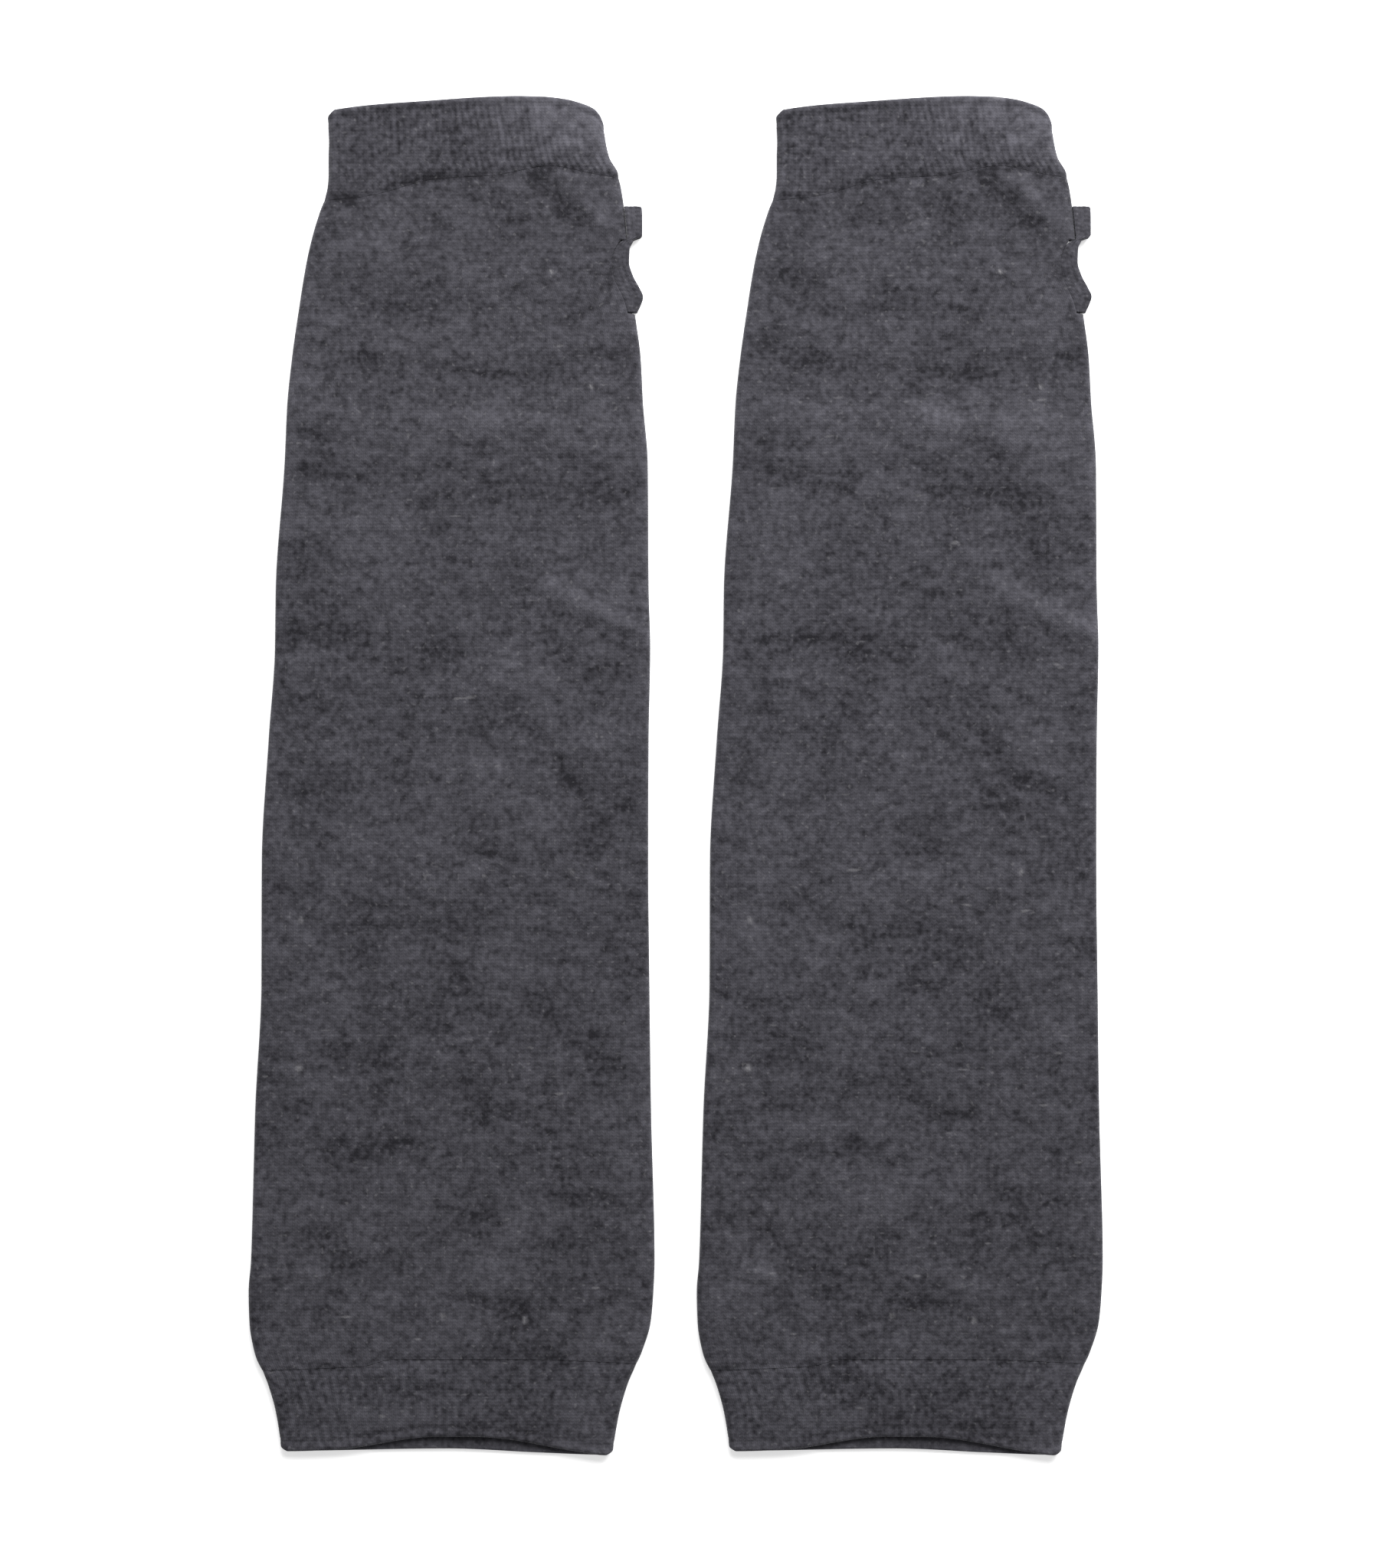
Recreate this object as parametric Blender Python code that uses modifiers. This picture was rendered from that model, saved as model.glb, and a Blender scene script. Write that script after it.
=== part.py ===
"""A pair of fine-knit arm warmers, laid flat side by side with their hand ends towards +Y.

Each warmer is a sleeve between two ribbed cuffs, with an edged thumb opening in its right-hand fold.
The tables and sizes below are in millimetres. "along" is counted down a warmer from the highest
point of its hand hem, "across" from its centreline, positive towards the thumb. A warmer is a
flattened tube: its back layer lies on the ground at z = 0 and its front layer lies on the back one.
"""

from collections import namedtuple

import bmesh
import bpy
import numpy as np

MM = 0.001

# Driving sizes
LENGTH = 340.0  # from the hand hem's highest point to the arm hem's lowest
PAIR_PITCH = 112.1  # from one warmer's centreline to the other's
KNIT_WALL = 1.2  # one layer of knit
LAYER_GAP = 0.8  # hollow left between the front and back layers
SEAM_GAP = 0.3  # between pieces that are sewn together
FLAT_HEIGHT = 2.0 * KNIT_WALL + LAYER_GAP
FOLD_RADIUS = FLAT_HEIGHT / 2.0

# How finely the cloth is divided
LAYER_STOPS = (0.04, 0.14, 0.27, 0.41, 0.55, 0.70, 0.80, 0.88, 0.95)  # shares from fold to fold
FOLD_STEPS = 4
SLEEVE_ROWS = 26
CUFF_ROWS = 7
EDGING_ROWS = 30

# The two side folds: where each one runs, across, at a distance along
SideFold = namedtuple("SideFold", "along left right")
SIDE_FOLDS = (
    SideFold(0.0, -30.7, 36.6),
    SideFold(6.0, -30.9, 37.8),
    SideFold(11.5, -30.7, 38.6),
    SideFold(15.3, -30.8, 39.5),
    SideFold(19.5, -30.8, 41.8),
    SideFold(23.0, -31.1, 42.4),
    SideFold(26.8, -32.3, 43.0),
    SideFold(34.5, -34.7, 43.8),
    SideFold(42.0, -36.4, 44.4),
    SideFold(55.2, -38.5, 46.0),
    SideFold(65.2, -39.9, 47.3),
    SideFold(76.7, -41.1, 47.9),
    SideFold(92.0, -41.8, 49.1),
    SideFold(122.7, -44.0, 49.3),
    SideFold(138.0, -44.2, 49.7),
    SideFold(161.0, -45.8, 49.3),
    SideFold(191.7, -47.5, 49.2),
    SideFold(222.0, -47.6, 49.5),
    SideFold(253.0, -49.1, 49.9),
    SideFold(291.3, -50.2, 50.8),
    SideFold(299.0, -50.8, 50.5),
    SideFold(306.7, -50.6, 49.8),
    SideFold(314.3, -49.3, 47.5),
    SideFold(322.0, -46.0, 44.1),
    SideFold(329.7, -43.9, 41.9),
    SideFold(340.0, -42.3, 40.1),
)

# Hems and seams: how far along each one lies, at a share of the width from the left fold
Crossing = namedtuple("Crossing", "share along")
HAND_HEM = (
    Crossing(0.0, 4.6),
    Crossing(0.02, 3.4),
    Crossing(0.37, 1.2),
    Crossing(0.70, 0.0),
    Crossing(0.80, 0.2),
    Crossing(0.88, 0.8),
    Crossing(0.94, 1.9),
    Crossing(0.983, 3.3),
    Crossing(0.994, 4.5),
    Crossing(1.0, 6.3),
)
HAND_SEAM = (
    Crossing(0.0, 26.2),
    Crossing(0.13, 25.2),
    Crossing(0.37, 20.8),
    Crossing(0.56, 20.0),
    Crossing(0.78, 17.6),
    Crossing(0.92, 19.6),
    Crossing(1.0, 20.6),
)
ARM_SEAM = (
    Crossing(0.0, 318.6),
    Crossing(0.27, 317.6),
    Crossing(0.36, 315.8),
    Crossing(0.67, 315.8),
    Crossing(1.0, 316.8),
)
ARM_HEM_BACK = (
    Crossing(0.0, 338.2),
    Crossing(0.017, 339.0),
    Crossing(0.50, 338.4),
    Crossing(0.77, 339.4),
    Crossing(0.983, 340.0),
    Crossing(1.0, 339.2),
)
ARM_HEM_FRONT = (
    Crossing(0.0, 338.2),
    Crossing(0.017, 338.8),
    Crossing(0.16, 338.4),
    Crossing(0.47, 335.2),
    Crossing(0.58, 335.2),
    Crossing(0.90, 338.9),
    Crossing(0.983, 339.8),
    Crossing(1.0, 339.2),
)

# The largest creases of the front layer: a soft line from one end to the other, with how far it
# reaches to each side and how high it stands (a negative rise is a trough)
Crease = namedtuple("Crease", "from_across from_along to_across to_along reach rise")
CREASES = (
    Crease(-42.0, 78.6, 8.0, 82.0, 7.0, 0.7),
    Crease(22.0, 84.0, 47.0, 91.0, 7.0, 0.8),
    Crease(-27.0, 93.0, 5.0, 93.0, 6.0, -0.35),
    Crease(-22.0, 55.0, 5.0, 55.0, 6.0, -0.3),
    Crease(23.0, 120.0, 43.0, 131.0, 7.0, 0.8),
    Crease(-42.0, 138.0, 43.0, 138.0, 7.0, -0.35),
    Crease(18.0, 156.0, 34.0, 174.0, 8.0, -0.3),
    Crease(26.0, 26.0, 29.0, 33.0, 5.0, -0.35),
    Crease(33.0, 24.0, 38.0, 32.0, 5.0, 0.5),
    Crease(-30.0, 232.0, 20.0, 226.0, 14.0, 0.5),
    Crease(-20.0, 292.0, 35.0, 286.0, 12.0, 0.5),
)

# The thumb opening's edging: a band whose inner side is sewn to the sleeve. It stands out as a
# square tab at the hand end, is scooped where the thumb comes out and ends in a rounded point
Edging = namedtuple("Edging", "along inner outer")
THUMB_EDGING = (
    Edging(27.5, 43.4, 47.0),
    Edging(28.1, 43.5, 47.6),
    Edging(34.7, 44.1, 47.7),
    Edging(35.4, 43.5, 47.2),
    Edging(36.2, 42.6, 45.3),
    Edging(38.2, 41.0, 44.5),
    Edging(41.5, 40.1, 44.4),
    Edging(45.0, 40.5, 45.4),
    Edging(48.0, 41.7, 47.0),
    Edging(50.2, 42.8, 47.9),
    Edging(52.4, 43.6, 47.2),
    Edging(55.2, 44.3, 46.0),
)
EDGING_CORNER = 0.5  # chamfer of the edging's long corners
OPENING_START = 34.9  # where the sleeve's cut for the thumb begins, along
SLIT_START = 36.4  # the slit between the edging's front and back strips
SLIT_END = 50.4

KNIT_COLOUR = (0.067, 0.065, 0.077, 1.0)
RIB_COLOUR = (0.070, 0.068, 0.080, 1.0)
EDGING_COLOUR = (0.074, 0.072, 0.084, 1.0)


def fair_curve(stops, values, at):
    """Cubic through the stops that never swings past them: each inner slope is the harmonic mean of
    the slopes beside it, or zero where they differ in sign."""
    stops = np.asarray(stops, float)
    values = np.asarray(values, float)
    steps = np.diff(stops)
    rates = np.diff(values) / steps
    before, after = rates[:-1], rates[1:]
    same_way = before * after > 0.0
    total = np.where(same_way, before + after, 1.0)
    inner = np.where(same_way, 2.0 * before * after / total, 0.0)
    slopes = np.concatenate([rates[:1], inner, rates[-1:]])
    at = np.clip(at, stops[0], stops[-1])
    cell = np.clip(np.searchsorted(stops, at, side="right") - 1, 0, len(steps) - 1)
    step = steps[cell]
    t = (at - stops[cell]) / step
    left = (2 * t**3 - 3 * t**2 + 1) * values[cell] + (t**3 - 2 * t**2 + t) * step * slopes[cell]
    right = (3 * t**2 - 2 * t**3) * values[cell + 1] + (t**3 - t**2) * step * slopes[cell + 1]
    return left + right


def column(table, name):
    return [getattr(row, name) for row in table]


def line_along(line, share):
    return fair_curve(column(line, "share"), column(line, "along"), share)


def fold_across(side, along):
    return fair_curve(column(SIDE_FOLDS, "along"), column(SIDE_FOLDS, side), along)


def edging_across(side, along):
    return fair_curve(column(THUMB_EDGING, "along"), column(THUMB_EDGING, side), along)


def to_metres(across, along, z):
    """Points of a warmer in metres, with the middle of its length at y = 0."""
    return np.stack([across, LENGTH / 2.0 - along, z], axis=-1) * MM


def tube_ring():
    """Share, reach and rise of each point round a flattened tube, up the left fold, over the front
    layer, down the right fold and back under the back layer."""
    quarter = np.linspace(-np.pi / 2, np.pi / 2, FOLD_STEPS + 1)
    across = np.array(LAYER_STOPS)
    flat = np.zeros(len(across))
    one = np.ones(len(across))
    left_share = np.zeros(len(quarter))
    right_share = np.ones(len(quarter))
    share = np.concatenate([left_share, across, right_share, across[::-1]])
    reach = np.concatenate([-np.cos(quarter), flat, np.cos(quarter), flat])
    rise = np.concatenate([np.sin(quarter), one, -np.sin(quarter), -one])
    return share, reach, rise


def crease_lift(across, along):
    """Sum of the creases: each falls off as exp(-(distance / reach)^2) from its line."""
    lift = np.zeros(np.shape(across))
    for crease in CREASES:
        run_across = crease.to_across - crease.from_across
        run_along = crease.to_along - crease.from_along
        length_squared = run_across**2 + run_along**2
        to_point = (across - crease.from_across) * run_across
        to_point = to_point + (along - crease.from_along) * run_along
        t = np.clip(to_point / length_squared, 0.0, 1.0)
        aside_across = across - crease.from_across - t * run_across
        aside_along = along - crease.from_along - t * run_along
        distance_squared = aside_across**2 + aside_along**2
        lift = lift + crease.rise * np.exp(-distance_squared / crease.reach**2)
    return lift


def tube_points(start, end, rows):
    """Outer surface of the tube between two lines, with its rows closer together at its ends.
    start and end give along for a share of the width and a front weight, which is 0 on the back
    layer and 1 on the front one."""
    share, reach, rise = tube_ring()
    front = (rise + 1.0) / 2.0
    nominal = fold_across("right", 150.0) - fold_across("left", 150.0)
    inset = FOLD_RADIUS / nominal
    width_share = inset + (1.0 - 2.0 * inset) * share + inset * reach
    even = np.linspace(0.0, 1.0, rows)[:, None]
    t = 0.3 * even + 0.7 * (1.0 - np.cos(np.pi * even)) / 2.0
    along = start(width_share, front) * (1.0 - t) + end(width_share, front) * t
    left = fold_across("left", along) + FOLD_RADIUS
    right = fold_across("right", along) - FOLD_RADIUS
    across = left * (1.0 - share) + right * share + FOLD_RADIUS * reach
    z = FOLD_RADIUS * (1.0 + rise) + crease_lift(across, along) * front
    return to_metres(across, along, z)


def loft_mesh(name, points, capped=False):
    """Mesh of quads through rows of ring points, facing out, with end faces where capped."""
    rows, around, _ = points.shape
    mesh = bpy.data.meshes.new(name)
    shape = bmesh.new()
    rings = [[shape.verts.new(point) for point in row] for row in points]
    for upper, lower in zip(rings[:-1], rings[1:]):
        for i in range(around):
            after = (i + 1) % around
            shape.faces.new((upper[i], lower[i], lower[after], upper[after]))
    if capped:
        shape.faces.new(rings[0])
        shape.faces.new(rings[-1][::-1])
    shape.to_mesh(mesh)
    shape.free()
    return mesh


def prism_mesh(name, outline, bottom, top):
    """Mesh of an upright prism on a closed outline of (across, along) points."""
    outline = np.array(outline)
    mesh = bpy.data.meshes.new(name)
    shape = bmesh.new()
    corners = [shape.verts.new(p) for p in to_metres(*outline.T, np.full(len(outline), bottom))]
    base = shape.faces.new(corners)
    made = bmesh.ops.extrude_face_region(shape, geom=[base])
    raised = [part for part in made["geom"] if isinstance(part, bmesh.types.BMVert)]
    bmesh.ops.translate(shape, verts=raised, vec=(0.0, 0.0, (top - bottom) * MM))
    bmesh.ops.recalc_face_normals(shape, faces=shape.faces)
    shape.to_mesh(mesh)
    shape.free()
    return mesh


def knit_material(name, colour, roughness):
    material = bpy.data.materials.new(name)
    material.use_nodes = True
    shader = material.node_tree.nodes["Principled BSDF"]
    shader.inputs["Base Color"].default_value = colour
    shader.inputs["Roughness"].default_value = roughness
    shader.inputs["Metallic"].default_value = 0.0
    material.diffuse_color = colour
    return material


def new_part(name, mesh, material, holder, collection):
    part = bpy.data.objects.new(name, mesh)
    if material:
        mesh.materials.append(material)
    part.parent = holder
    collection.objects.link(part)
    return part


def new_cutter(name, mesh, holder, collection):
    cutter = new_part(name, mesh, None, holder, collection)
    cutter.hide_render = True
    cutter.display_type = "WIRE"
    return cutter


def cut(part, cutter):
    boolean = part.modifiers.new("cut", "BOOLEAN")
    boolean.operation = "DIFFERENCE"
    boolean.solver = "EXACT"
    boolean.object = cutter


def give_wall(part):
    """Turns a tube's outer surface into knit of one wall, inwards."""
    wall = part.modifiers.new("wall", "SOLIDIFY")
    wall.thickness = KNIT_WALL * MM
    wall.offset = -1.0
    wall.use_even_offset = True
    wall.use_rim = True


def shade(part):
    part.data.shade_smooth()
    part.data.set_sharp_from_angle(angle=np.radians(50.0))


def hand_hem(share, front):
    return line_along(HAND_HEM, share)


def hand_cuff_end(share, front):
    return line_along(HAND_SEAM, share) - SEAM_GAP / 2.0


def sleeve_start(share, front):
    return line_along(HAND_SEAM, share) + SEAM_GAP / 2.0


def sleeve_end(share, front):
    return line_along(ARM_SEAM, share) - SEAM_GAP / 2.0


def arm_cuff_start(share, front):
    return line_along(ARM_SEAM, share) + SEAM_GAP / 2.0


def arm_hem(share, front):
    """The front layer's hem is drawn back from the back layer's in the middle."""
    return line_along(ARM_HEM_BACK, share) * (1.0 - front) + line_along(ARM_HEM_FRONT, share) * front


def opening_outline():
    """Plan of what the sleeve loses at the thumb: the edging's inner side, a seam's gap away, then
    straight out past the fold."""
    last = THUMB_EDGING[-1].along
    along = np.linspace(OPENING_START, last, EDGING_ROWS)
    across = edging_across("inner", along) - SEAM_GAP
    past_fold = max(column(THUMB_EDGING, "outer")) + FOLD_RADIUS
    inner = list(zip(across, along))
    end = [(across[-1], last + SEAM_GAP), (past_fold, last + SEAM_GAP)]
    return inner + end + [(past_fold, OPENING_START)]


def edging_points():
    """Rings of the thumb edging: a flat bar with chamfered corners from its inner to its outer side."""
    stops = np.array(column(THUMB_EDGING, "along"))
    even = np.linspace(stops[0], stops[-1], EDGING_ROWS)
    along = np.unique(np.round(np.concatenate([stops, even]), 2))[:, None]
    along = along[np.concatenate([[True], np.diff(along[:, 0]) > 0.3])]
    inner = edging_across("inner", along)
    outer = edging_across("outer", along)
    outward = np.array([0, 0, 1, 1, 1, 1, 0, 0])
    chamfer_across = np.array([0, 1, -1, 0, 0, -1, 1, 0]) * EDGING_CORNER
    upward = np.array([1, 1, 1, 1, 0, 0, 0, 0])
    chamfer_up = np.array([-1, 0, 0, -1, 1, 0, 0, 1]) * EDGING_CORNER
    across = inner * (1 - outward) + outer * outward + chamfer_across
    z = np.broadcast_to(FLAT_HEIGHT * upward + chamfer_up, across.shape)
    return to_metres(across, np.broadcast_to(along, across.shape), z)


def slit_outline():
    inner = min(column(THUMB_EDGING, "inner")) - KNIT_WALL
    outer = max(column(THUMB_EDGING, "outer")) + KNIT_WALL
    return [(inner, SLIT_START), (outer, SLIT_START), (outer, SLIT_END), (inner, SLIT_END)]


def build_warmer(side, centre, materials, parts, cutters):
    """One warmer's four pieces, held by an empty on its centreline."""
    holder = bpy.data.objects.new(side + "_warmer", None)
    holder.location = (centre * MM, 0.0, 0.0)
    parts.objects.link(holder)

    tubes = (
        ("hand_cuff", hand_hem, hand_cuff_end, CUFF_ROWS, "rib"),
        ("sleeve", sleeve_start, sleeve_end, SLEEVE_ROWS, "knit"),
        ("arm_cuff", arm_cuff_start, arm_hem, CUFF_ROWS, "rib"),
    )
    made = {}
    for piece, start, end, rows, slot in tubes:
        name = f"{side}_{piece}"
        mesh = loft_mesh(name, tube_points(start, end, rows))
        made[piece] = new_part(name, mesh, materials[slot], holder, parts)
        shade(made[piece])
        give_wall(made[piece])

    opening = prism_mesh(side + "_opening", opening_outline(), -FLAT_HEIGHT, 2 * FLAT_HEIGHT)
    cut(made["sleeve"], new_cutter(side + "_opening", opening, holder, cutters))

    name = side + "_thumb_edging"
    edging_mesh = loft_mesh(name, edging_points(), capped=True)
    edging = new_part(name, edging_mesh, materials["edging"], holder, parts)
    shade(edging)
    slit = prism_mesh(side + "_slit", slit_outline(), KNIT_WALL, KNIT_WALL + LAYER_GAP)
    cut(edging, new_cutter(side + "_slit", slit, holder, cutters))


def main():
    for item in list(bpy.data.objects):
        bpy.data.objects.remove(item)
    parts = bpy.data.collections.new("arm_warmers")
    cutters = bpy.data.collections.new("cutters")
    for collection in (parts, cutters):
        bpy.context.scene.collection.children.link(collection)
    materials = {
        "knit": knit_material("sleeve_knit", KNIT_COLOUR, 0.95),
        "rib": knit_material("cuff_rib", RIB_COLOUR, 0.95),
        "edging": knit_material("thumb_edging", EDGING_COLOUR, 0.95),
    }
    for side, way in (("left", -1.0), ("right", 1.0)):
        build_warmer(side, way * PAIR_PITCH / 2.0, materials, parts, cutters)


main()
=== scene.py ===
import bpy
import numpy as np
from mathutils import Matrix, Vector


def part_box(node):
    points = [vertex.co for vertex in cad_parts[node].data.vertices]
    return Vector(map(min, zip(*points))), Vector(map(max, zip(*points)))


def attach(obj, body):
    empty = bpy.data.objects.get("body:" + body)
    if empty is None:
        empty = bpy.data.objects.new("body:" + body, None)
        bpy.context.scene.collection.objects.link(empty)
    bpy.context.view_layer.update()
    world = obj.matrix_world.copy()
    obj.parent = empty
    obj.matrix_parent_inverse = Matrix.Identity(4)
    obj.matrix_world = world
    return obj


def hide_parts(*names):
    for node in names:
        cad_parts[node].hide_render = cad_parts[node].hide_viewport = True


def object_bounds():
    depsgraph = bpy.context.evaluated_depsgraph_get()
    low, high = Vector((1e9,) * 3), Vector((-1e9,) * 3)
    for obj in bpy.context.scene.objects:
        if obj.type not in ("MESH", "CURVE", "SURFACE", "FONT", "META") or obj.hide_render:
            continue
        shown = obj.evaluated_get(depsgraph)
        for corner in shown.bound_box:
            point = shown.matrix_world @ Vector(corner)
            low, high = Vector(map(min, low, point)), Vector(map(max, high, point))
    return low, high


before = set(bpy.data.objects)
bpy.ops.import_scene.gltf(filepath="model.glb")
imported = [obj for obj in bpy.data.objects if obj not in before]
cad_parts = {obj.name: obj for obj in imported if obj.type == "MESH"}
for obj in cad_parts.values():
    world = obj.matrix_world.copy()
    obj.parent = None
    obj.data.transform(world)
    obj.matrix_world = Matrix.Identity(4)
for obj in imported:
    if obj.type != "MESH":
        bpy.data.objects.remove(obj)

cadLow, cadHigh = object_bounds()
mm = 0.001
print("frame loaded:", sorted(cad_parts))


def table(names, *rows):
    # A short table as one array for each named column
    return dict(zip(names.split(), np.array(rows, float).T))


# The garment's own lines, which every piece is laid on
flatCloth = {
    "wall": 1.2,  # one layer of knit
    "foldRadius": 1.6,  # half the height of the two layers
    "nominalAlong": 150.0,  # where the folds' share of the width is taken
    "frontWales": 80,  # stitches from fold to fold on each layer
    "foldWales": 4,  # stitches round one side fold
    "courseHeight": 0.8,
    "edgeInset": 0.05,  # from a sewn edge to the row of points beside it
}
sideFolds = table(
    "along left right",
    (0.0, -30.7, 36.6),
    (6.0, -30.9, 37.8),
    (11.5, -30.7, 38.6),
    (15.3, -30.8, 39.5),
    (19.5, -30.8, 41.8),
    (23.0, -31.1, 42.4),
    (26.8, -32.3, 43.0),
    (34.5, -34.7, 43.8),
    (42.0, -36.4, 44.4),
    (55.2, -38.5, 46.0),
    (65.2, -39.9, 47.3),
    (76.7, -41.1, 47.9),
    (92.0, -41.8, 49.1),
    (122.7, -44.0, 49.3),
    (138.0, -44.2, 49.7),
    (161.0, -45.8, 49.3),
    (191.7, -47.5, 49.2),
    (222.0, -47.6, 49.5),
    (253.0, -49.1, 49.9),
    (291.3, -50.2, 50.8),
    (299.0, -50.8, 50.5),
    (306.7, -50.6, 49.8),
    (314.3, -49.3, 47.5),
    (322.0, -46.0, 44.1),
    (329.7, -43.9, 41.9),
    (340.0, -42.3, 40.1),
)
handHem = table(
    "share along",
    (0.0, 4.6),
    (0.02, 3.4),
    (0.37, 1.2),
    (0.70, 0.0),
    (0.80, 0.2),
    (0.88, 0.8),
    (0.94, 1.9),
    (0.983, 3.3),
    (0.994, 4.5),
    (1.0, 6.3),
)
handSeam = table(
    "share along",
    (0.0, 26.2),
    (0.13, 25.2),
    (0.37, 20.8),
    (0.56, 20.0),
    (0.78, 17.6),
    (0.92, 19.6),
    (1.0, 20.6),
)
armSeam = table(
    "share along",
    (0.0, 318.6),
    (0.27, 317.6),
    (0.36, 315.8),
    (0.67, 315.8),
    (1.0, 316.8),
)
armHemBack = table(
    "share along",
    (0.0, 338.2),
    (0.017, 339.0),
    (0.50, 338.4),
    (0.77, 339.4),
    (0.983, 340.0),
    (1.0, 339.2),
)
armHemFront = table(
    "share along",
    (0.0, 338.2),
    (0.017, 338.8),
    (0.16, 338.4),
    (0.47, 335.2),
    (0.58, 335.2),
    (0.90, 338.9),
    (0.983, 339.8),
    (1.0, 339.2),
)

# Creases of the front layer: a soft line, how far it reaches to each side, how high it stands
frontCreases = table(
    "fromAcross fromAlong toAcross toAlong reach rise",
    (28.0, 13.0, 38.0, 17.0, 5.0, 0.25),
    (-29.0, 25.0, -22.0, 28.0, 2.5, -0.30),
    (-16.0, 22.0, -2.0, 21.0, 2.0, -0.25),
    (-12.0, 30.0, -2.0, 33.0, 3.0, -0.25),
    (3.0, 26.0, 6.0, 37.0, 2.0, 0.18),
    (11.0, 25.0, 13.0, 31.0, 2.2, -0.25),
    (21.0, 21.0, 32.0, 32.0, 2.6, -0.62),
    (29.0, 20.0, 38.0, 32.0, 2.2, 0.38),
    (-24.0, 37.0, -2.0, 43.0, 4.0, 0.20),
    (-24.0, 53.0, -5.0, 54.0, 1.7, -0.26),
    (-4.0, 50.0, 8.0, 53.0, 3.2, -0.28),
    (-34.0, 63.0, -20.0, 65.0, 3.0, -0.24),
    (-22.0, 67.0, 20.0, 70.0, 3.6, -0.26),
    (8.0, 70.0, 20.0, 70.5, 1.4, -0.20),
    (24.0, 69.0, 46.0, 64.5, 3.4, -0.32),
    (-42.0, 80.0, 8.0, 80.0, 3.6, 0.26),
    (8.0, 82.0, 48.0, 83.0, 3.6, 0.38),
    (26.0, 86.0, 48.0, 93.0, 3.2, 0.30),
    (-38.0, 85.0, -28.0, 87.0, 3.0, -0.24),
    (-38.0, 94.0, -12.0, 96.0, 2.8, -0.28),
    (-2.0, 92.0, 5.0, 92.5, 2.4, -0.26),
    (10.0, 99.0, 31.0, 101.0, 4.2, -0.34),
    (-38.0, 105.0, -8.0, 107.0, 4.0, 0.14),
    (8.0, 113.0, 24.0, 115.0, 4.0, 0.18),
    (24.0, 122.5, 48.0, 134.0, 2.6, 0.48),
    (26.0, 129.0, 44.0, 138.0, 2.6, -0.22),
    (-40.0, 135.0, 2.0, 140.0, 3.0, -0.32),
    (14.0, 135.0, 30.0, 139.0, 3.2, -0.28),
    (14.0, 144.0, 26.0, 148.0, 4.2, 0.22),
    (18.0, 157.0, 30.0, 171.0, 2.2, -0.34),
    (30.0, 171.0, 43.0, 178.0, 2.2, -0.32),
    (29.0, 164.0, 42.0, 161.0, 3.4, 0.28),
    (1.0, 166.0, 9.0, 169.0, 3.2, 0.20),
    (-40.0, 172.0, -28.0, 173.0, 3.2, -0.18),
    (36.0, 184.0, 38.0, 194.0, 3.0, -0.16),
    (1.0, 190.0, 11.0, 189.0, 2.2, -0.22),
    (-4.0, 197.0, 6.0, 195.0, 3.0, 0.24),
    (-16.0, 208.0, 6.0, 209.0, 3.2, -0.26),
    (-40.0, 207.0, -36.0, 212.0, 2.8, 0.26),
    (-16.0, 228.0, -12.0, 232.0, 3.0, 0.20),
    (3.0, 223.0, 13.0, 230.0, 4.0, -0.28),
    (22.0, 227.0, 38.0, 242.0, 3.6, -0.30),
    (-30.0, 240.0, -14.0, 237.0, 3.2, -0.20),
    (-38.0, 255.0, -24.0, 252.0, 2.6, -0.20),
    (6.0, 254.5, 17.0, 255.5, 2.4, -0.34),
    (-24.0, 264.5, -11.0, 262.0, 2.8, -0.36),
    (24.0, 275.0, 42.0, 276.5, 2.4, -0.34),
    (5.0, 280.0, 9.0, 286.0, 2.8, -0.34),
    (-32.0, 285.0, -26.0, 292.0, 2.8, -0.28),
    (-36.0, 294.0, -33.0, 295.0, 2.6, 0.46),
    (9.0, 295.0, 16.0, 296.0, 4.0, 0.30),
    (0.0, 301.0, 20.0, 305.0, 2.8, -0.40),
    (22.0, 310.0, 26.0, 316.0, 2.6, -0.28),
    (-20.0, 323.0, 20.0, 325.0, 2.8, -0.22),
    (-26.0, 330.0, -10.0, 331.0, 2.8, 0.18),
    (10.0, 330.0, 17.0, 334.0, 2.6, -0.22),
    (29.0, 329.0, 37.0, 336.0, 3.4, 0.24),
    (-16.0, 337.5, 22.0, 337.5, 5.0, -0.35),
)
# The same for the back layer, where every line is a trough that lifts clear of the ground
backCreases = table(
    "fromAcross fromAlong toAcross toAlong reach rise",
    (-38.0, 62.0, 4.0, 66.0, 6.0, 0.24),
    (10.0, 84.0, 44.0, 78.0, 7.0, 0.28),
    (-30.0, 118.0, 20.0, 126.0, 6.0, 0.22),
    (6.0, 166.0, 42.0, 150.0, 7.0, 0.26),
    (-40.0, 205.0, -6.0, 214.0, 8.0, 0.22),
    (2.0, 246.0, 38.0, 252.0, 9.0, 0.24),
    (-36.0, 290.0, 10.0, 284.0, 8.0, 0.24),
    (-8.0, 30.0, 18.0, 38.0, 5.0, 0.18),
)


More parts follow.
